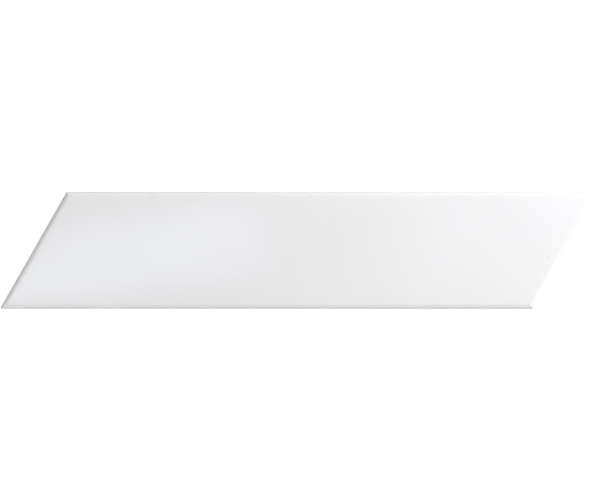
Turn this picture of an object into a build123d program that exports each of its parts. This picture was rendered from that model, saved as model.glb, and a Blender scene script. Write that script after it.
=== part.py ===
from build123d import *
import os
from math import atan2, degrees, radians, sin, sqrt, tan

# A glazed ceramic wall tile with two long sides and two ends slanted the same way.
# It is pressed and fired as one piece, so it is one solid.
# Frame: it lies on its back with the glazed face up. X runs along the long sides, Z is up,
# and the origin is the middle of the back. Seen from the face, the ends lean towards +X.

# Outline and thickness, in millimetres and degrees
FACE_WIDTH = 50.0
LONG_SIDE = 228.0
END_ANGLE = 60.3
CORNER_RADIUS = 0.4
THICKNESS = 8.0

# Soft edge round the face: a wide arc leaves the flat, a tight one turns down into the side
ROLL_REACH = 2.4
ROLL_RADIUS = 4.2
NOSE_RADIUS = 0.7

# Sides: an upright land that the joints are set against, then the draft of the die
LAND_HEIGHT = 1.8
SIDE_DRAFT = 0.6
BACK_BEVEL = 0.4

# Key pattern in the back: shallow drafted pockets between ribs, inside a plain border
BACK_BORDER = 4.0
POCKET_PITCH_ALONG = 11.0
POCKET_PITCH_ACROSS = 10.0
RIB_WIDTH = 1.6
POCKET_DEPTH = 0.7
POCKET_DRAFT = 30.0


def lean(height):
    """How far a slanted end moves along X over a distance across the tile."""
    return height / tan(radians(END_ANGLE))


def lozenge(length, width):
    """Outline with the tile's own slant, centred on the origin."""
    return Polygon(
        ((-length - lean(width)) / 2, -width / 2),
        ((length - lean(width)) / 2, -width / 2),
        ((length + lean(width)) / 2, width / 2),
        ((lean(width) - length) / 2, width / 2),
        align=None,
    )


def pressed_section(width):
    """Section square to a pair of sides, from the back to the face, with the same edge on both."""
    half = width / 2
    reach = ROLL_REACH - NOSE_RADIUS
    rise = sqrt((ROLL_RADIUS - NOSE_RADIUS) ** 2 - reach**2)
    turn = degrees(atan2(reach, rise))
    land_top = THICKNESS - ROLL_RADIUS + rise
    flat = Line((0, THICKNESS), (half - ROLL_REACH, THICKNESS))
    roll = CenterArc((half - ROLL_REACH, THICKNESS - ROLL_RADIUS), ROLL_RADIUS, 90, -turn)
    nose = CenterArc((half - NOSE_RADIUS, land_top), NOSE_RADIUS, 90 - turn, turn - 90)
    side = Polyline(
        (half, land_top),
        (half, land_top - LAND_HEIGHT),
        (half - SIDE_DRAFT, BACK_BEVEL),
        (half - SIDE_DRAFT - BACK_BEVEL, 0),
        (0, 0),
    )
    right = Curve() + [flat, roll, nose, side]
    return make_face(right + mirror(right, Plane.YZ))


def pressed_bar(width, heading):
    """The section drawn out both ways past the tile, then turned about the upright axis."""
    past_the_tile = LONG_SIDE + FACE_WIDTH
    bar = extrude(Plane.YZ * pressed_section(width), past_the_tile, both=True)
    return Rot(Z=heading) * bar


def tile_body():
    """Two bars cross, so their edges meet in mitres, and an upright die rounds the four corners."""
    across_the_ends = LONG_SIDE * sin(radians(END_ANGLE))
    mitred = pressed_bar(FACE_WIDTH, 0) & pressed_bar(across_the_ends, END_ANGLE)
    outline = lozenge(LONG_SIDE, FACE_WIDTH)
    die = extrude(fillet(outline.vertices(), CORNER_RADIUS), THICKNESS)
    return mitred & die


def even_count(space, pitch):
    """How many pockets fit, an even number, so that a rib runs through the middle."""
    return 2 * max(1, round(space / pitch / 2))


def key_pattern():
    """All the pockets of the back, in rows along the tile and columns along its ends."""
    margin = SIDE_DRAFT + BACK_BEVEL + BACK_BORDER
    rib_along = RIB_WIDTH / sin(radians(END_ANGLE))
    space_along = LONG_SIDE - 2 * margin / sin(radians(END_ANGLE)) + rib_along
    space_across = FACE_WIDTH - 2 * margin + RIB_WIDTH
    columns = even_count(space_along, POCKET_PITCH_ALONG)
    rows = even_count(space_across, POCKET_PITCH_ACROSS)
    step_along = space_along / columns
    step_across = space_across / rows
    mouth = lozenge(step_along - rib_along, step_across - RIB_WIDTH)
    pocket = extrude(mouth, POCKET_DEPTH, taper=POCKET_DRAFT)
    pockets = []
    for row in range(rows):
        y = (row - (rows - 1) / 2) * step_across
        for column in range(columns):
            x = (column - (columns - 1) / 2) * step_along + lean(y)
            pockets.append(Pos(x, y) * pocket)
    return pockets


tile = tile_body() - key_pattern()
os.makedirs("parts", exist_ok=True)
export_step(tile, "parts/tile.step")
print("tile", tile.bounding_box().size, "volume", tile.volume, "faces", len(tile.faces()))
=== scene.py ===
# %% [markdown]
# # A glazed wall tile with slanted ends
#
# The real tile is one piece: clay powder is pressed in a steel die, coated with liquid glass
# on its face, and fired. So this lesson makes one mesh with three finishes: the white glaze on
# top, the bare clay on the sides and back, and broken clay in two small chips. It lies flat, and
# the camera looks straight down.
#
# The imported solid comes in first. It fixes the place and the size of everything below.

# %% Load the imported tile
from math import atan2, cos, pi, radians, sin, sqrt, tan

import bmesh
import bpy
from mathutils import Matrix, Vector, noise


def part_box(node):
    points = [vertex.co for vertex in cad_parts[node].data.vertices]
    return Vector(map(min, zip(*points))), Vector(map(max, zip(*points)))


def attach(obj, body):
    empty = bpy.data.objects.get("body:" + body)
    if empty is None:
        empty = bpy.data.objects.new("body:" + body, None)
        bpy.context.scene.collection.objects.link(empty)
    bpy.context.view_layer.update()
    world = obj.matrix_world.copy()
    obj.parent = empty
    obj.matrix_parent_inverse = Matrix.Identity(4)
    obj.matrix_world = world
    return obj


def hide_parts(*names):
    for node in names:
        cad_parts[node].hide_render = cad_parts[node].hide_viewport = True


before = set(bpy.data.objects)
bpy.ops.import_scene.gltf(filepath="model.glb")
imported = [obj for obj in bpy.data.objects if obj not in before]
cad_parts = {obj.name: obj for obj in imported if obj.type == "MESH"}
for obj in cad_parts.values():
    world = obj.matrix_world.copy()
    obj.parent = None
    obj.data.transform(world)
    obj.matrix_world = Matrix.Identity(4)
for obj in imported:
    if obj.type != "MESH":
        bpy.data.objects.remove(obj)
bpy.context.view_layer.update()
low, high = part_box("tile")
print("solid tile, metres:", [round(side, 5) for side in high - low])

# %% [markdown]
# ## Sizes
#
# Blender works in metres, and a tile maker in millimetres, so one factor turns the one into the
# other. The width and the thickness are read from the solid. The long side follows from the
# overall length: the slant is taken off, and what the two sharp corners lose by their rounding
# is added back.

# %% Sizes of the tile
MM = 0.001
END_ANGLE = radians(60.3)
CORNER = 0.4 * MM
WIDTH = high.y - low.y
THICKNESS = high.z - low.z
CORNER_LOSS = CORNER * (1 / tan(END_ANGLE / 2) - 1)
LONG_SIDE = (high.x - low.x) - WIDTH / tan(END_ANGLE) + 2 * CORNER_LOSS
print("long side", round(LONG_SIDE / MM, 2), "mm, width", round(WIDTH / MM, 2), "mm")

# %% [markdown]
# ## How fine the mesh is
#
# The back of the tile has 20 by 4 shallow pockets, which come later. Each of them needs a mesh
# line in its middle, one on the rib beside it, and a few where its walls rise. The mesh of the
# whole tile takes its number of steps from them, so that face, sides and back fit together.

# %% Steps of the mesh
COLUMNS, ROWS = 20, 4
# where the mesh lines of a pocket wall lie, measured from the edge of its rib into the pocket
WALL_LINES = [-0.12 * MM, 0.06 * MM, 0.20 * MM, 0.34 * MM, 0.52 * MM]
LINES_PER_POCKET = 2 * (len(WALL_LINES) + 1)
LONG_STEPS = COLUMNS * LINES_PER_POCKET
END_STEPS = ROWS * LINES_PER_POCKET
ARC_STEPS = 8
print("steps along a long side:", LONG_STEPS, "and along an end:", END_STEPS)

# %% [markdown]
# ## The outline at any depth
#
# Every level of the tile has the same kind of outline: a slanted rectangle with rounded corners,
# drawn in by some amount. A curve object could draw it, but one function that makes a loop of
# points can give every loop the same number of them, so that neighbouring loops can be joined
# with four-sided faces later. The points crowd towards the corners, where the form turns fastest.

# %% Outline loop
CROWDING = 0.75
FRONT = 3 * pi / 2
# which way the sides face, as angles: left end, front, right end, back, and the left end again
NORMALS = [FRONT - pi + END_ANGLE, FRONT, FRONT + END_ANGLE, FRONT + pi, FRONT + pi + END_ANGLE]


def corners(inset):
    """The four corners of the slanted rectangle, drawn in by inset, anticlockwise from front left."""
    across = WIDTH / 2 - inset
    along = LONG_SIDE / 2 - inset / sin(END_ANGLE)
    lean = across / tan(END_ANGLE)
    front = [Vector((-along - lean, -across)), Vector((along - lean, -across))]
    back = [Vector((along + lean, across)), Vector((lean - along, across))]
    return front + back


def crowd(step, steps):
    """A share of the way from 0 to 1 whose steps get shorter near both ends."""
    even = step / steps
    eased = even * even * (3 - 2 * even)
    return even + CROWDING * (eased - even)


def outline(inset, radius):
    """Loop of points round the tile: for each corner its arc, then the side that follows."""
    loop = []
    centres = corners(inset + radius)
    for k in range(4):
        start, end = NORMALS[k], NORMALS[k + 1]
        for step in range(ARC_STEPS + 1):
            angle = start + (end - start) * step / ARC_STEPS
            loop.append(centres[k] + radius * Vector((cos(angle), sin(angle))))
        steps = LONG_STEPS if k % 2 == 0 else END_STEPS
        behind = loop[-1]
        ahead = centres[(k + 1) % 4] + radius * Vector((cos(end), sin(end)))
        loop += [behind.lerp(ahead, crowd(step, steps)) for step in range(1, steps)]
    return loop


print("points in one loop:", len(outline(0, CORNER)))

# %% [markdown]
# ## The section of the edge
#
# The die gives the face a soft edge: a wide arc falls away from the flat, and a tight arc turns
# down into the side. Glaze rounds the mitres where two edges meet, so the corner radius of each
# loop grows with its distance from the side. Below the edge come the upright land, the draft
# that lets the tile leave the die, and a small bevel round the back.
#
# Blender's own bevel makes one plain arc. A list of levels can follow the real section, with its
# two arcs. Each entry is one loop: how far in it lies, how high it is, and how round its corners
# are.

# %% Levels from the face down to the back
ROLL_REACH = 2.4 * MM
ROLL_RADIUS = 4.2 * MM
NOSE_RADIUS = 0.7 * MM
LAND_HEIGHT = 1.8 * MM
SIDE_DRAFT = 0.6 * MM
BACK_BEVEL = 0.4 * MM
CORNER_GROWTH = 0.25
ROLL_LEVELS = 12
NOSE_LEVELS = 9

RISE = sqrt((ROLL_RADIUS - NOSE_RADIUS) ** 2 - (ROLL_REACH - NOSE_RADIUS) ** 2)
TURN = atan2(ROLL_REACH - NOSE_RADIUS, RISE)
LAND_TOP = THICKNESS - ROLL_RADIUS + RISE
LAND_FOOT = LAND_TOP - LAND_HEIGHT


def face_level(inset, height):
    """A loop of the glazed edge, with rounder corners the further in it lies."""
    return inset, height, CORNER + CORNER_GROWTH * inset


face_levels = []
for step in range(ROLL_LEVELS + 1):
    slope = TURN * step / ROLL_LEVELS
    fall = ROLL_RADIUS * (1 - cos(slope))
    face_levels.append(face_level(ROLL_REACH - ROLL_RADIUS * sin(slope), THICKNESS - fall))
for step in range(1, NOSE_LEVELS + 1):
    slope = TURN + (pi / 2 - TURN) * step / NOSE_LEVELS
    face_levels.append(face_level(NOSE_RADIUS * (1 - sin(slope)), LAND_TOP + NOSE_RADIUS * cos(slope)))
side_levels = [
    (0, LAND_FOOT, CORNER),
    (SIDE_DRAFT / 2, (LAND_FOOT + BACK_BEVEL) / 2, CORNER),
    (SIDE_DRAFT, BACK_BEVEL, CORNER),
    (SIDE_DRAFT + BACK_BEVEL, 0, CORNER),
]
print("levels:", len(face_levels), "glazed and", len(side_levels), "bare")
print("top of the land:", round(LAND_TOP / MM, 2), "mm above the back")

# %% [markdown]
# ## Weaving loops and sheets
#
# Two helpers do all the joining. This cell has the first, which closes the band between two
# loops. Blender can bridge loops by itself, but written out it is clear which points are joined,
# and which finish each face wears.

# %% Helpers that join loops
GLAZE, CLAY = 0, 1
tile = bmesh.new()


def add_loop(inset, height, radius):
    """Puts one level of the section into the mesh."""
    return [tile.verts.new((point.x, point.y, height)) for point in outline(inset, radius)]


def add_face(points, finish, upward=True):
    """Adds one face, turned over where it belongs to the underside."""
    face = tile.faces.new(points if upward else reversed(points))
    face.material_index = finish
    face.smooth = True


def join_loops(inner, outer, finish):
    """Closes the band between two loops, the inner or upper one first."""
    for k in range(len(inner)):
        n = (k + 1) % len(inner)
        add_face([inner[k], outer[k], outer[n], inner[n]], finish)


print("finish numbers: glaze", GLAZE, "and clay", CLAY)

# %% [markdown]
# ## Fitting a sheet into a loop
#
# The face and the back are sheets: grids of rows and columns inside a rounded loop. The second
# helper fills such a grid with faces and joins it to the loop, with four-sided faces along the
# sides and a small fan of triangles in each rounded corner.

# %% Helpers that fit a sheet


def sheet_border(sheet):
    """The four edges of a sheet, each in the order in which the loop runs past it."""
    front = [column[0] for column in sheet]
    back = [column[-1] for column in reversed(sheet)]
    return [front, sheet[-1], back, list(reversed(sheet[0]))]


def fit_sheet(sheet, loop, finish, upward):
    """Fills a sheet with faces, and joins its border to the loop round it."""
    for left, right in zip(sheet, sheet[1:]):
        for k in range(len(left) - 1):
            add_face([left[k], right[k], right[k + 1], left[k + 1]], finish, upward)
    start = 0
    for border in sheet_border(sheet):
        arc = loop[start : start + ARC_STEPS + 1]
        start += ARC_STEPS
        run = [loop[(start + k) % len(loop)] for k in range(len(border))]
        start += len(border) - 1
        for before, after in zip(arc, arc[1:]):
            add_face([border[0], before, after], finish, upward)
        for k in range(len(border) - 1):
            add_face([border[k], run[k], run[k + 1], border[k + 1]], finish, upward)


print("triangles in the fan of each corner:", ARC_STEPS)

# %% [markdown]
# ## The glazed face
#
# A pressed face is never quite flat. It is a little full in the middle and falls off towards the
# sides, and the glaze lies on it in slow, shallow waves that only show when a lamp is mirrored in
# it. Both are modelled in the mesh, as a dip of at most a tenth of a millimetre below the solid's
# flat face. A displacement texture could do that too, but a formula counts in real millimetres.
# Noise gives the waves, and it is the same in each run. They fade out at the side, which the die
# keeps straight.

# %% Dip of the face below the solid's flat
CROWN_FALL = 0.06 * MM
CROWN_REACH = 14 * MM
WAVES = [(0.030 * MM, 70 * MM), (0.007 * MM, 16 * MM)]


def distance_in(x, y):
    """Distance of a point of the face from the nearest side."""
    from_long = WIDTH / 2 - abs(y)
    from_end = (LONG_SIDE / 2 - abs(x - y / tan(END_ANGLE))) * sin(END_ANGLE)
    return min(from_long, from_end)


def dip(x, y):
    """How far the glaze lies below the flat at a point."""
    inside = distance_in(x, y)
    crown = CROWN_FALL * max(0, 1 - inside / CROWN_REACH) ** 2
    waves = sum(depth * (1 + noise.noise(Vector((x, y, 0)) / length)) / 2 for depth, length in WAVES)
    return crown + waves * min(1, inside / ROLL_REACH)


print("dip in the middle:", round(dip(0, 0) / MM, 3), "mm; at a side:", round(dip(0, WIDTH / 2) / MM, 3))

# %% [markdown]
# ## Skin of the face
#
# The flat part is a sheet of mesh lines, drawn in far enough to leave room for the round corners.
# The levels of the edge lie round it like rings. All these points are lowered by the dip before
# they are joined, so the sheet and the rings stay one smooth skin.

# %% Face sheet and glazed edge
FLAT_MARGIN = 5.5 * MM


def between(near, far, share):
    """The point that lies a share of the way from one to the other."""
    return near.lerp(far, share)


front_left, front_right, back_right, back_left = corners(FLAT_MARGIN)
face_sheet = []
for i in range(LONG_STEPS + 1):
    front = between(front_left, front_right, crowd(i, LONG_STEPS))
    back = between(back_left, back_right, crowd(i, LONG_STEPS))
    spots = [between(front, back, crowd(j, END_STEPS)) for j in range(END_STEPS + 1)]
    face_sheet.append([tile.verts.new((spot.x, spot.y, THICKNESS)) for spot in spots])
face_loops = [add_loop(*entry) for entry in face_levels]
for vertex in tile.verts:
    vertex.co.z -= dip(vertex.co.x, vertex.co.y)
fit_sheet(face_sheet, face_loops[0], GLAZE, upward=True)
for inner, outer in zip(face_loops, face_loops[1:]):
    join_loops(inner, outer, GLAZE)
print("faces of the glazed part:", len(tile.faces))

# %% [markdown]
# ## The bare sides
#
# The glaze is sprayed on from above, so the land, the draft and the bevel stay bare. Pressed
# powder leaves them plain and straight, and their grain is left to the material.

# %% Sides
side_loops = [face_loops[-1]] + [add_loop(*entry) for entry in side_levels]
for upper, lower in zip(side_loops, side_loops[1:]):
    join_loops(upper, lower, CLAY)
print("faces with the sides:", len(tile.faces))

# %% [markdown]
# ## The key pattern of the back
#
# Adhesive needs something to grip, so the lower punch leaves shallow pockets between ribs. They
# could be cut out with eighty little blocks, but that leaves long thin faces. A sheet of mesh
# lines is laid over the back instead, bunched where the pocket walls are. This cell finds the
# place of each line, and how deep it lies if the other direction allows it.

# %% Lines of the pockets
BACK_BORDER = 4.0 * MM
RIB_WIDTH = 1.6 * MM
BACK_MARGIN = SIDE_DRAFT + BACK_BEVEL + BACK_BORDER


def pocket_lines(space, count, slant):
    """Places of the mesh lines across one direction, and the share of the full depth at each."""
    rib = RIB_WIDTH * slant
    pitch = (space + rib) / count
    half = [0] + [rib / 2 + wall * slant for wall in WALL_LINES] + [pitch / 2]
    first, last = half[1], half[-2]
    lines = []
    for pocket in range(count):
        start = (pocket - count / 2) * pitch
        rising = [(start + place, place) for place in half[:-1]]
        falling = [(start + pitch - place, place) for place in reversed(half[1:])]
        lines += rising + falling
    lines.append((count * pitch / 2, 0))
    smooth = [min(1, max(0, (place - first) / (last - first))) for _, place in lines]
    return [(line[0], part * part * (3 - 2 * part)) for line, part in zip(lines, smooth)]


SLANT = 1 / sin(END_ANGLE)
along_lines = pocket_lines(LONG_SIDE - 2 * BACK_MARGIN * SLANT, COLUMNS, SLANT)
across_lines = pocket_lines(WIDTH - 2 * BACK_MARGIN, ROWS, 1)
print("lines along the back:", len(along_lines), "and across it:", len(across_lines))

# %% [markdown]
# ## The back as one sheet
#
# Where a line along and a line across meet, the product of their two shares gives the depth. So a
# point is deep only where both are in a pocket, and the ribs come out by themselves. The edges of
# the ribs are rounded for free, because the walls are a smooth step.

# %% Back sheet
POCKET_DEPTH = 0.7 * MM
back_sheet = []
for along, along_share in along_lines:
    column = []
    for across, across_share in across_lines:
        depth = POCKET_DEPTH * along_share * across_share
        column.append(tile.verts.new((along + across / tan(END_ANGLE), across, depth)))
    back_sheet.append(column)
fit_sheet(back_sheet, side_loops[-1], CLAY, upward=False)
print("faces in all:", len(tile.faces))

# %% [markdown]
# ## From mesh to object
#
# The mesh becomes an object here. Where it turns by more than about a third of a right angle, the
# edge is marked sharp, so the bevel keeps crisp arrises while the glaze stays smooth.

# %% Tile object
SHARP = radians(28)
shape = bpy.data.meshes.new("tile_glazed")
tile.to_mesh(shape)
tile.free()
shape.set_sharp_from_angle(angle=SHARP)
glazed_tile = bpy.data.objects.new("tile_glazed", shape)
bpy.context.scene.collection.objects.link(glazed_tile)
print("triangles:", sum(len(polygon.vertices) - 2 for polygon in shape.polygons))

# %% [markdown]
# ## Three finishes
#
# The tile needs a finish for its glaze, one for the pressed clay and one for broken clay. The
# mesh has to know them before the corner is chipped, because the cut hands a finish over. So they
# are made here, and painted further down.

# %% Materials, still empty
glaze = bpy.data.materials.new("white_glaze")
clay = bpy.data.materials.new("fired_clay")
scar = bpy.data.materials.new("fresh_break")
for material in (glaze, clay, scar):
    material.use_nodes = True
    shape.materials.append(material)
print("finishes on the mesh:", [material.name for material in shape.materials])

# %% [markdown]
# ## The damaged corner
#
# One blunt corner of the real tile has been knocked. A crumb is gone from the very edge, and a
# smaller flake from the soft edge of the slanted end just beside it, both down to the clay. A
# sculptor would carve them by hand. Here two lumpy balls do it, because they can be moved and
# sized by numbers. They wear the finish of broken clay.

# %% Lumpy balls
BLUNT_CORNER = corners(0)[1]
CHIPS = [
    # name, place from the foot of the corner, half sizes
    ("crumb", Vector((-0.42, 0.06, 7.25)) * MM, Vector((0.58, 0.42, 0.50)) * MM),
    ("flake", Vector((0.42, 1.42, 7.45)) * MM, Vector((0.42, 0.45, 0.32)) * MM),
]
LUMP_SIZE = 0.45 * MM
LUMP_DEPTH = 0.35


def lumpy_ball(name, centre, radii):
    """A ball with shallow facets, as the scar of a knock has."""
    ball = bmesh.new()
    bmesh.ops.create_icosphere(ball, subdivisions=4, radius=1)
    for vertex in ball.verts:
        place = Vector(c * r for c, r in zip(vertex.co, radii))
        swell = 1 + LUMP_DEPTH * noise.noise((place + centre) / LUMP_SIZE)
        vertex.co = centre + place * swell
    cutter_shape = bpy.data.meshes.new(name)
    ball.to_mesh(cutter_shape)
    ball.free()
    cutter_shape.materials.append(scar)
    cutter = bpy.data.objects.new(name, cutter_shape)
    bpy.context.scene.collection.objects.link(cutter)
    return cutter


cutters = []
for name, offset, radii in CHIPS:
    centre = Vector((BLUNT_CORNER.x, BLUNT_CORNER.y, 0)) + offset
    cutters.append(lumpy_ball(name, centre, radii))
print("balls to cut with:", [cutter.name for cutter in cutters])

# %% [markdown]
# ## Cutting the chips
#
# A Boolean modifier takes each ball away from the tile. Its transfer mode hands the ball's finish
# over to the cut surface, so the scars come out as broken clay. The result is then made the
# tile's own mesh, and the balls are thrown away.

# %% Corner chips
for cutter in cutters:
    cut = glazed_tile.modifiers.new(cutter.name, "BOOLEAN")
    cut.operation = "DIFFERENCE"
    cut.solver = "EXACT"
    cut.material_mode = "TRANSFER"
    cut.object = cutter

depsgraph = bpy.context.evaluated_depsgraph_get()
chipped = bpy.data.meshes.new_from_object(glazed_tile.evaluated_get(depsgraph))
glazed_tile.modifiers.clear()
glazed_tile.data = chipped
for cutter in cutters:
    bpy.data.objects.remove(cutter)
print("materials after the cut:", [material.name for material in chipped.materials])
print("triangles after the cut:", sum(len(polygon.vertices) - 2 for polygon in chipped.polygons))

# %% [markdown]
# ## Helpers for nodes
#
# A finish is built from nodes. Each node has to be added, set and fed, so one helper does all of
# that at once: it fills an input with a plain value or with another node's output. The other two
# are for node groups. A group is a box of nodes with named inputs and outputs, built once and
# placed wherever it is needed.

# %% Nodes and groups
VALUE, VECTOR, COLOUR = "NodeSocketFloat", "NodeSocketVector", "NodeSocketColor"


def put(tree, kind, inputs=None, **settings):
    """Adds a node, sets its settings, and fills its inputs by name or by number."""
    node = tree.nodes.new(kind)
    for name, value in settings.items():
        setattr(node, name, value)
    for socket, source in (inputs or {}).items():
        if isinstance(source, bpy.types.NodeSocket):
            tree.links.new(source, node.inputs[socket])
        else:
            node.inputs[socket].default_value = source
    return node


def new_group(name, inputs, outputs):
    """Starts a node group, and returns its tree, its input node and its output node."""
    tree = bpy.data.node_groups.new(name, "ShaderNodeTree")
    for label, kind, value in inputs:
        socket = tree.interface.new_socket(label, in_out="INPUT", socket_type=kind)
        if value is not None:
            socket.default_value = value
    for label, kind in outputs:
        tree.interface.new_socket(label, in_out="OUTPUT", socket_type=kind)
    return tree, tree.nodes.new("NodeGroupInput"), tree.nodes.new("NodeGroupOutput")


def use(tree, group, inputs):
    """Places a node group in a material or in another group."""
    return put(tree, "ShaderNodeGroup", inputs, node_tree=group)


print("kinds of group socket:", VALUE, VECTOR, COLOUR)

# %% [markdown]
# ## Sums, blends, places and relief
#
# Four more helpers let a node tree read like a sentence. One does a sum, one blends two colours,
# one gives the place of a point of the surface, and one turns a relief into the shader's normal.
# Places and reliefs are in millimetres of the tile, so a grain size in a node is a real one.

# %% Small steps


def math_node(tree, operation, first, second=0.0, clamp=False):
    """One sum, product or comparison. Returns its output."""
    node = put(tree, "ShaderNodeMath", {0: first, 1: second}, operation=operation, use_clamp=clamp)
    return node.outputs[0]


def blend_colours(tree, share, first, second):
    """A colour that goes from the first to the second with the share."""
    node = put(tree, "ShaderNodeMix", {0: share, 6: first, 7: second}, data_type="RGBA")
    return node.outputs[2]


def millimetres(tree):
    """Position on the object, in millimetres of the tile."""
    place = put(tree, "ShaderNodeTexCoord").outputs["Object"]
    scaled = put(tree, "ShaderNodeVectorMath", {0: place, "Scale": 1 / MM}, operation="SCALE")
    return scaled.outputs[0]


def emboss(tree, shader, relief):
    """Feeds the shader's normal with a relief given in millimetres."""
    bump = put(tree, "ShaderNodeBump", {"Height": relief, "Distance": MM, "Strength": 1.0})
    tree.links.new(bump.outputs[0], shader.inputs["Normal"])


print("one unit of a pattern or a relief:", MM, "m")

# %% [markdown]
# ## Mottle
#
# Three effects appear in more than one material, so each becomes a group. The first, `mottle`, is
# a slow or fine variation between 0 and 1. Nothing that comes out of a kiln is quite even, and
# noise gives that without a picture. Glaze, clay and paper each set their own size and contrast.

# %% Mottle group
NOISE_DETAIL = 3
NOISE_MIDDLE = 0.5


def make_mottle():
    """Noise of a given size, stretched so that it fills the range from 0 to 1."""
    tree, inside, out = new_group(
        "mottle",
        [("Position", VECTOR, None), ("Size", VALUE, 5.0), ("Contrast", VALUE, 2.0)],
        [("Share", VALUE)],
    )
    scale = math_node(tree, "DIVIDE", 1.0, inside.outputs["Size"])
    settings = {"Vector": inside.outputs["Position"], "Scale": scale, "Detail": NOISE_DETAIL}
    wander = put(tree, "ShaderNodeTexNoise", settings)
    centred = math_node(tree, "SUBTRACT", wander.outputs[0], NOISE_MIDDLE)
    spread = math_node(tree, "MULTIPLY", centred, inside.outputs["Contrast"])
    share = math_node(tree, "ADD", spread, NOISE_MIDDLE, clamp=True)
    tree.links.new(share, out.inputs["Share"])
    return tree


mottle = make_mottle()


def mottled(tree, place, size, contrast):
    """The share of a mottle of a given size in millimetres."""
    return use(tree, mottle, {"Position": place, "Size": size, "Contrast": contrast}).outputs[0]


print("group:", mottle.name, "with", len(mottle.nodes), "nodes")

# %% [markdown]
# ## The body of the tile
#
# The second group, `clay_body`, is the fired clay itself: buff, with darker and lighter grains
# and a pressed, slightly sandy surface. It shows on the sides and back, in the chips, and below
# the line where the glaze stops. Voronoi cells give the dark grains, because each cell has a
# chance of its own: many cells have no grain at all, and the others have a small or a large one.

# %% Clay group
CLAY_DEEP = (0.57, 0.47, 0.34, 1)
CLAY_LIGHT = (0.68, 0.58, 0.45, 1)
SAND_COLOUR = (0.74, 0.66, 0.54, 1)
DARK_GRAIN_COLOUR = (0.30, 0.20, 0.13, 1)
CELLS_PER_MM = 1.1
CHANCE_OF_NO_GRAIN = 0.45
GRAIN_REACH = 0.28
DARK_GRAIN_STRENGTH = 0.5
SAND_RELIEF = 0.03


def make_clay_body():
    """Colour and relief of the fired clay. The relief is in millimetres."""
    tree, inside, out = new_group(
        "clay_body",
        [("Position", VECTOR, None), ("Grain", VALUE, 0.35)],
        [("Color", COLOUR), ("Relief", VALUE)],
    )
    place = inside.outputs["Position"]
    cloud = mottled(tree, place, size=9.0, contrast=2.2)
    sand = mottled(tree, place, size=inside.outputs["Grain"], contrast=2.6)
    base = blend_colours(tree, cloud, CLAY_DEEP, CLAY_LIGHT)
    grains = blend_colours(tree, sand, base, SAND_COLOUR)
    cells = put(tree, "ShaderNodeTexVoronoi", {"Vector": place, "Scale": CELLS_PER_MM})
    chance = put(tree, "ShaderNodeSeparateColor", {0: cells.outputs["Color"]}).outputs[0]
    surplus = math_node(tree, "SUBTRACT", chance, CHANCE_OF_NO_GRAIN)
    reach = math_node(tree, "MULTIPLY", surplus, GRAIN_REACH)
    dark = math_node(tree, "LESS_THAN", cells.outputs["Distance"], reach)
    faint = math_node(tree, "MULTIPLY", dark, DARK_GRAIN_STRENGTH)
    colour = blend_colours(tree, faint, grains, DARK_GRAIN_COLOUR)
    relief = math_node(tree, "MULTIPLY", sand, SAND_RELIEF)
    tree.links.new(colour, out.inputs["Color"])
    tree.links.new(relief, out.inputs["Relief"])
    return tree


clay_body = make_clay_body()
print("group:", clay_body.name, "with", len(clay_body.nodes), "nodes")

# %% [markdown]
# ## Where the glaze stops
#
# The third group, `glaze_line`, is the edge of the glaze: 0 on bare clay and 1 on glaze. Sprayed
# glaze never stops along a ruled line. So the height of a point is compared with a given height,
# after a mottle has pushed it up or down a little.

# %% Glaze line group
WAVER_LENGTH = 7.0
WAVER_CONTRAST = 2.5
LINE_MIDDLE = 0.5


def make_glaze_line():
    """0 on bare clay and 1 on glaze, with a wavering line between them at a height."""
    tree, inside, out = new_group(
        "glaze_line",
        [
            ("Position", VECTOR, None),
            ("Height", VALUE, 7.0),
            ("Waver", VALUE, 0.1),
            ("Softness", VALUE, 0.06),
        ],
        [("Cover", VALUE)],
    )
    place = inside.outputs["Position"]
    height = put(tree, "ShaderNodeSeparateXYZ", {0: place}).outputs["Z"]
    wave = mottled(tree, place, size=WAVER_LENGTH, contrast=WAVER_CONTRAST)
    centred = math_node(tree, "SUBTRACT", wave, NOISE_MIDDLE)
    shift = math_node(tree, "MULTIPLY", centred, inside.outputs["Waver"])
    above = math_node(tree, "SUBTRACT", height, inside.outputs["Height"])
    level_with_wave = math_node(tree, "ADD", above, shift)
    ramp = math_node(tree, "DIVIDE", level_with_wave, inside.outputs["Softness"])
    cover = math_node(tree, "ADD", ramp, LINE_MIDDLE, clamp=True)
    tree.links.new(cover, out.inputs["Cover"])
    return tree


glaze_line = make_glaze_line()
print("node groups:", [group.name for group in bpy.data.node_groups])

# %% [markdown]
# ## Marks in the glaze
#
# A bubble that bursts in the kiln leaves a pinhole, and a touch before firing leaves a smudge.
# Such marks belong to one tile, and each has its own place on the face. They could be painted in
# a picture, but a short list of places is easier to read and to move. Each is drawn as a soft
# round spot that is darkest in the middle.

# %% Pinholes and smudges
PINHOLES = [
    # x, y and radius in millimetres, then how dark
    (106.2, -3.3, 0.62, 0.22),
    (104.4, -8.9, 0.50, 0.18),
    (112.1, -2.4, 0.45, 0.14),
    (-12.1, 23.7, 0.60, 0.18),
]
SMUDGES = [
    # the same, but wide and faint
    (-63.0, 23.2, 1.60, 0.06),
    (4.8, 23.3, 1.30, 0.05),
]


def spot(tree, place, x, y, radius):
    """A soft round mark at one place of the face, from 1 in the middle to 0 at its rim."""
    flat = put(tree, "ShaderNodeVectorMath", {0: place, 1: (1, 1, 0)}, operation="MULTIPLY")
    ends = {0: flat.outputs[0], 1: (x, y, 0)}
    reach = put(tree, "ShaderNodeVectorMath", ends, operation="DISTANCE").outputs["Value"]
    inward = math_node(tree, "DIVIDE", reach, radius)
    return math_node(tree, "SUBTRACT", 1.0, inward, clamp=True)


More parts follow.
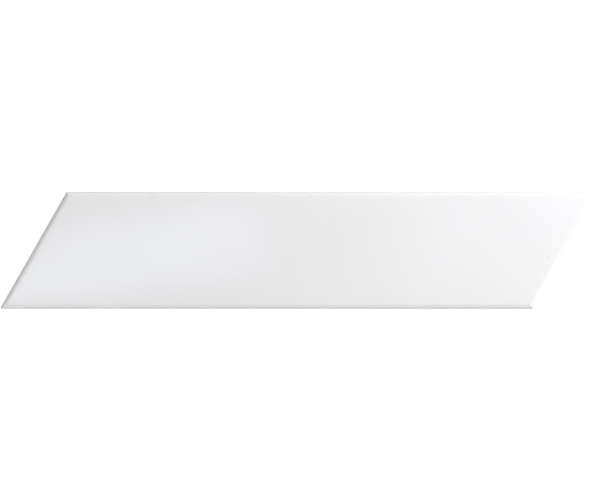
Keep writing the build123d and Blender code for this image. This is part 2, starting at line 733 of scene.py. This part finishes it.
def add_marks(tree, place):
    """How dark the glaze is marked at a point, with all the spots added up."""
    marks = 0.0
    for x, y, radius, strength in PINHOLES + SMUDGES:
        mark = math_node(tree, "MULTIPLY", spot(tree, place, x, y, radius), strength)
        marks = math_node(tree, "ADD", marks, mark)
    return marks


print("marks:", len(PINHOLES), "pinholes and", len(SMUDGES), "smudges")

# %% [markdown]
# ## The white of the glaze
#
# Tile glaze is opaque white glass, and its colour hardly varies. Near the foot of the edge it
# thins until the clay shows. The line is set a little higher at the left end than at the right,
# so more dark clay shows along the left end, away from the key lamp: painted shade. The same
# line is needed for the colour, the shine and the relief, so it is made once and handed on.

# %% Cover and colour of the glaze
CLAY_GRAIN = 0.35
GLAZE_STOP = 7.19
# rise of the glaze stop per millimetre towards the left end; the extra bare clay there is painted shade
PAINTED_SHADE_TILT = -0.0004
GLAZE_DEEP = (0.820, 0.824, 0.824, 1)
GLAZE_LIGHT = (0.841, 0.841, 0.844, 1)
MARK_COLOUR = (0.20, 0.18, 0.15, 1)


def glaze_cover(tree, place):
    """1 where the glaze lies and 0 where the clay is bare."""
    along = put(tree, "ShaderNodeSeparateXYZ", {0: place}).outputs["X"]
    # the stop rises towards the left end, so bare clay darkens that end more: painted shade
    shade_tilt = math_node(tree, "MULTIPLY", along, PAINTED_SHADE_TILT)
    stop = math_node(tree, "ADD", shade_tilt, GLAZE_STOP)
    line = {"Position": place, "Height": stop, "Waver": 0.10, "Softness": 0.12}
    return use(tree, glaze_line, line).outputs[0]


def glaze_colour(tree, place, cover, marks, clay_colour):
    """White with a slow cloud and its marks, over clay."""
    cloud = mottled(tree, place, size=40.0, contrast=2.0)
    white = blend_colours(tree, cloud, GLAZE_DEEP, GLAZE_LIGHT)
    marked = blend_colours(tree, marks, white, MARK_COLOUR)
    return blend_colours(tree, cover, clay_colour, marked)


print("glaze stops", GLAZE_STOP, "mm above the back, in the middle of the tile")

# %% [markdown]
# ## The shine of the glaze
#
# Polished glass mirrors sharply, and handling smears it a little, so the roughness is low and
# wanders slowly. The surface has a faint orange peel, a few thousandths of a millimetre deep. Both
# are too fine for the mesh, so they go into the material. The bare foot is nearly as rough as
# the clay below it.

# %% Glaze material
GLASS_IOR = 1.52
POLISH = 0.07
SMEAR = 0.05
BARE_ROUGHNESS = 0.7
PEEL_DEPTH = 0.0025
GLAZE_STEP = 0.03
PINHOLE_DEPTH = 0.2


def paint_glaze(material):
    """White glass with orange peel, pinholes, and a thin foot where the clay shows."""
    tree = material.node_tree
    shader = tree.nodes["Principled BSDF"]
    place = millimetres(tree)
    body = use(tree, clay_body, {"Position": place, "Grain": CLAY_GRAIN})
    cover = glaze_cover(tree, place)
    marks = add_marks(tree, place)
    colour = glaze_colour(tree, place, cover, marks, body.outputs["Color"])
    tree.links.new(colour, shader.inputs["Base Color"])

    smear = math_node(tree, "MULTIPLY", mottled(tree, place, size=14.0, contrast=2.0), SMEAR)
    polish = math_node(tree, "ADD", smear, POLISH)
    bare = math_node(tree, "SUBTRACT", 1.0, cover)
    dull = math_node(tree, "MULTIPLY", bare, BARE_ROUGHNESS)
    tree.links.new(math_node(tree, "ADD", dull, polish, clamp=True), shader.inputs["Roughness"])

    peel = math_node(tree, "MULTIPLY", mottled(tree, place, size=2.2, contrast=1.6), PEEL_DEPTH)
    glassy = math_node(tree, "ADD", math_node(tree, "MULTIPLY", cover, GLAZE_STEP), peel)
    sunk = math_node(tree, "SUBTRACT", glassy, math_node(tree, "MULTIPLY", marks, PINHOLE_DEPTH))
    sandy = math_node(tree, "MULTIPLY", body.outputs["Relief"], bare)
    emboss(tree, shader, math_node(tree, "ADD", sunk, sandy))
    shader.inputs["IOR"].default_value = GLASS_IOR


paint_glaze(glaze)
print(glaze.name, "has", len(glaze.node_tree.nodes), "nodes")

# %% [markdown]
# ## The fired clay
#
# The body is a buff, slightly porous earthenware. It has no shine, fine sandy relief, and a
# little dust of glaze on the land, where the spray ran past the edge. The dust is the glaze line
# once more, but lower, and so soft and wavering that it reads as drift.

# %% Clay material
DUST_STRENGTH = 0.55
DUST_COLOUR = (0.80, 0.79, 0.76, 1)
CLAY_ROUGHNESS = 0.92
WORN_SHINE = 0.14


def paint_clay(material):
    """Matt buff clay with a dusting of glaze near the top of the side."""
    tree = material.node_tree
    shader = tree.nodes["Principled BSDF"]
    place = millimetres(tree)
    body = use(tree, clay_body, {"Position": place, "Grain": CLAY_GRAIN})
    drift = {"Position": place, "Height": 6.7, "Waver": 2.2, "Softness": 1.6}
    dusting = use(tree, glaze_line, drift).outputs[0]
    thin = math_node(tree, "MULTIPLY", dusting, DUST_STRENGTH)
    colour = blend_colours(tree, thin, body.outputs["Color"], DUST_COLOUR)
    tree.links.new(colour, shader.inputs["Base Color"])
    worn = math_node(tree, "MULTIPLY", mottled(tree, place, size=3.0, contrast=2.0), WORN_SHINE)
    rough = math_node(tree, "SUBTRACT", CLAY_ROUGHNESS, worn)
    tree.links.new(rough, shader.inputs["Roughness"])
    emboss(tree, shader, body.outputs["Relief"])


paint_clay(clay)
print(clay.name, "has", len(clay.node_tree.nodes), "nodes")

# %% [markdown]
# ## The fresh break
#
# Where the crumb and the flake are gone, the clay is broken and not pressed. A break is a little
# warmer, has no dust of glaze, and shows finer grains. It uses the same clay group with a grain
# size and patches of its own.

# %% Fresh break material
BREAK_GRAIN = 0.18
BREAK_COLOUR = (0.74, 0.60, 0.48, 1)
WARM_SHARE = 0.6
BREAK_ROUGHNESS = 0.85
PATCH_ROUGHNESS = 0.1


def paint_scar(material):
    """Broken clay: matt, warmer and finer than the pressed side, and free of glaze."""
    tree = material.node_tree
    shader = tree.nodes["Principled BSDF"]
    place = millimetres(tree)
    body = use(tree, clay_body, {"Position": place, "Grain": BREAK_GRAIN})
    patch = mottled(tree, place, size=0.8, contrast=2.0)
    warmth = math_node(tree, "MULTIPLY", patch, WARM_SHARE)
    colour = blend_colours(tree, warmth, body.outputs["Color"], BREAK_COLOUR)
    tree.links.new(colour, shader.inputs["Base Color"])
    uneven = math_node(tree, "MULTIPLY", patch, PATCH_ROUGHNESS)
    tree.links.new(math_node(tree, "ADD", uneven, BREAK_ROUGHNESS), shader.inputs["Roughness"])
    emboss(tree, shader, body.outputs["Relief"])


paint_scar(scar)
print(scar.name, "has", len(scar.node_tree.nodes), "nodes")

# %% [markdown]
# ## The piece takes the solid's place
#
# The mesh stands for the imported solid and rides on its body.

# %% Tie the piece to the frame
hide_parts("tile")
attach(glazed_tile, "root")
print(glazed_tile.name, "stands for the solid tile")

# %% [markdown]
# ## The paper floor
#
# White goods are shot on white paper, and the ground in the picture is pushed to plain white
# afterwards. A pale floor with a faint fibre does for the paper, and Light Path does the rest: the
# camera sees the floor glow a little more than the tile does. What the tile gets is the light
# that white paper throws back at its sides.

# %% Floor
FLOOR_SIZE = 8.0
FLOOR_GRID = 8
PAPER_ROUGHNESS = 0.9
PAPER_GLOW = 0.73
WHITENED_GLOW = 0.93
PAPER_PALE = (0.18, 0.18, 0.18, 1)
PAPER_DEEP = (0.16, 0.16, 0.16, 1)


def make_floor():
    """A wide flat sheet of pale paper, plain white to the camera."""
    bpy.ops.mesh.primitive_grid_add(x_subdivisions=FLOOR_GRID, y_subdivisions=FLOOR_GRID, size=FLOOR_SIZE)
    floor = bpy.context.object
    floor.name = "paper_floor"
    material = bpy.data.materials.new("lit_paper")
    material.use_nodes = True
    tree = material.node_tree
    shader = tree.nodes["Principled BSDF"]
    fibre = mottled(tree, millimetres(tree), size=60.0, contrast=1.5)
    pale = blend_colours(tree, fibre, PAPER_DEEP, PAPER_PALE)
    tree.links.new(pale, shader.inputs["Base Color"])
    shader.inputs["Roughness"].default_value = PAPER_ROUGHNESS
    shader.inputs["Emission Color"].default_value = (1, 1, 1, 1)
    seen = put(tree, "ShaderNodeLightPath").outputs["Is Camera Ray"]
    extra = math_node(tree, "MULTIPLY", seen, WHITENED_GLOW - PAPER_GLOW)
    glow = math_node(tree, "ADD", extra, PAPER_GLOW)
    tree.links.new(glow, shader.inputs["Emission Strength"])
    floor.data.materials.append(material)
    return floor


floor = make_floor()
print("floor:", floor.name, FLOOR_SIZE, "m square")

# %% [markdown]
# ## Studio lamps
#
# All that tells the eye that the face ends in a soft edge is light. A large key lamp on the right
# makes the right edge bright and leaves the left edge dark, and weaker lamps behind, in front and
# overhead give the long edges their tones. Two small lamps close to the ends stand for light that
# the walls throw back. They brighten the face, but the glaze must not mirror them as spots, so
# they are hidden from glossy rays.

# %% Lamps
WHITE, COOL = (1.0, 1.0, 1.0), (0.98, 0.95, 1.0)
LAMPS = [
    # name, azimuth from +X towards +Y, elevation, distance, size, watts, colour, mirrored
    ("key_right", 10, 30, 1.6, 0.5, 24.2, WHITE, True),
    ("near_right", 30, 40, 0.35, 0.16, 0.42, COOL, False),
    ("near_left", 200, 45, 0.35, 0.2, 0.298, WHITE, False),
    ("fill_back", 90, 45, 1.2, 0.6, 1.11, WHITE, True),
    ("high_back", 90, 70, 1.2, 0.5, 0.71, WHITE, True),
    ("low_front", 270, 14, 1.2, 0.5, 1.29, WHITE, True),
    ("overhead", 0, 90, 1.2, 0.9, 0.76, WHITE, True),
]


def add_lamp(name, azimuth, elevation, distance, size, watts, colour, mirrored):
    """A square soft lamp that looks at the middle of the tile."""
    a, e = radians(azimuth), radians(elevation)
    toward = Vector((cos(a) * cos(e), sin(a) * cos(e), sin(e)))
    data = bpy.data.lights.new(name, "AREA")
    data.shape = "SQUARE"
    data.size = size
    data.energy = watts
    data.color = colour
    lamp = bpy.data.objects.new(name, data)
    lamp.location = toward * distance
    lamp.rotation_euler = toward.to_track_quat("Z", "Y").to_euler()
    lamp.visible_camera = False
    lamp.visible_glossy = mirrored
    bpy.context.scene.collection.objects.link(lamp)


for lamp in LAMPS:
    add_lamp(*lamp)
print("lamps:", [lamp[0] for lamp in LAMPS])

# %% [markdown]
# ## The strip above
#
# A long soft strip hangs over the left half of the table, turned a few degrees. Its own light
# hardly counts, but the glaze mirrors it as a faint, cool and broad streak that runs up to the
# right. A strip has no hard rim, so its glow is made from nodes that fade it out on all sides.

# %% Strip
STRIP_HEIGHT = 1.5
STRIP_MIDDLE = (-0.283, -0.023)
STRIP_TURN = radians(12)
STRIP_HALF_LENGTH, STRIP_HALF_WIDTH = 0.26, 0.068
STRIP_FADE = 0.045
STRIP_GLOW = 2.28
STRIP_COLOUR = (0.70, 0.80, 1.0, 1)


def make_strip():
    """A glowing card that only mirrors and bounces see, brightest along its middle."""
    bpy.ops.mesh.primitive_plane_add(size=2, location=(*STRIP_MIDDLE, STRIP_HEIGHT))
    card = bpy.context.object
    card.name = "strip_card"
    card.scale = (STRIP_HALF_LENGTH, STRIP_HALF_WIDTH, 1)
    card.rotation_euler = (pi, 0, STRIP_TURN)
    card.visible_camera = False
    material = bpy.data.materials.new("strip_glow")
    material.use_nodes = True
    tree = material.node_tree
    shader = tree.nodes["Principled BSDF"]
    place = put(tree, "ShaderNodeTexCoord").outputs["Object"]
    axes = put(tree, "ShaderNodeSeparateXYZ", {0: place})
    glow = STRIP_GLOW
    for axis, half in (("X", STRIP_HALF_LENGTH), ("Y", STRIP_HALF_WIDTH)):
        off = math_node(tree, "ABSOLUTE", axes.outputs[axis])
        inward = math_node(tree, "SUBTRACT", 1.0, off)
        fade = math_node(tree, "MULTIPLY", inward, half / STRIP_FADE, clamp=True)
        ease = put(tree, "ShaderNodeMapRange", {"Value": fade}, interpolation_type="SMOOTHSTEP")
        glow = math_node(tree, "MULTIPLY", glow, ease.outputs[0])
    tree.links.new(glow, shader.inputs["Emission Strength"])
    shader.inputs["Emission Color"].default_value = STRIP_COLOUR
    shader.inputs["Base Color"].default_value = (0, 0, 0, 1)
    card.data.materials.append(material)
    return card


strip = make_strip()
print("strip:", strip.name, 2 * STRIP_HALF_LENGTH, "by", 2 * STRIP_HALF_WIDTH, "m")

# %% [markdown]
# ## The dark room
#
# Nothing but the lamps, the strip and the floor gives light. A grey room would lay a veil over
# every mirrored part of the glaze, so the world stays black.

# %% Room
ROOM_GREY = 0.0
world = bpy.data.worlds.new("studio")
bpy.context.scene.world = world
world.use_nodes = True
backdrop = world.node_tree.nodes["Background"]
backdrop.inputs["Color"].default_value = (1, 1, 1, 1)
backdrop.inputs["Strength"].default_value = ROOM_GREY
print("brightness of the room:", ROOM_GREY)

# %% [markdown]
# ## Camera
#
# The photograph was taken from straight above with a long lens. The tile spans all but a pixel
# or two of the picture's width, so the distance follows from the lens and from the width of the
# picture on the tile. The middle of the tile lies a fraction of a pixel off the middle of the
# picture, and the camera is moved by that much.

# %% Camera
PICTURE = (600, 500)
TILE_SPAN = 598.9
TILE_MIDDLE = (299.5, 250.3)
SHARP_LENGTH = LONG_SIDE + WIDTH / tan(END_ANGLE)
LENS = 120.0
SENSOR = 36.0

pixel = SHARP_LENGTH / TILE_SPAN
reach = LENS / SENSOR * PICTURE[0] * pixel
eye = bpy.data.cameras.new("eye")
eye.lens = LENS
eye.sensor_width = SENSOR
eye.sensor_fit = "HORIZONTAL"
camera = bpy.data.objects.new("eye", eye)
shift_x = (PICTURE[0] / 2 - TILE_MIDDLE[0]) * pixel
shift_y = (TILE_MIDDLE[1] - PICTURE[1] / 2) * pixel
camera.location = (shift_x, shift_y, LAND_TOP + reach)
bpy.context.scene.collection.objects.link(camera)
bpy.context.scene.camera = camera
bpy.context.scene.view_settings.view_transform = "Standard"
print("camera", round(reach, 3), "m above the edge of the tile")
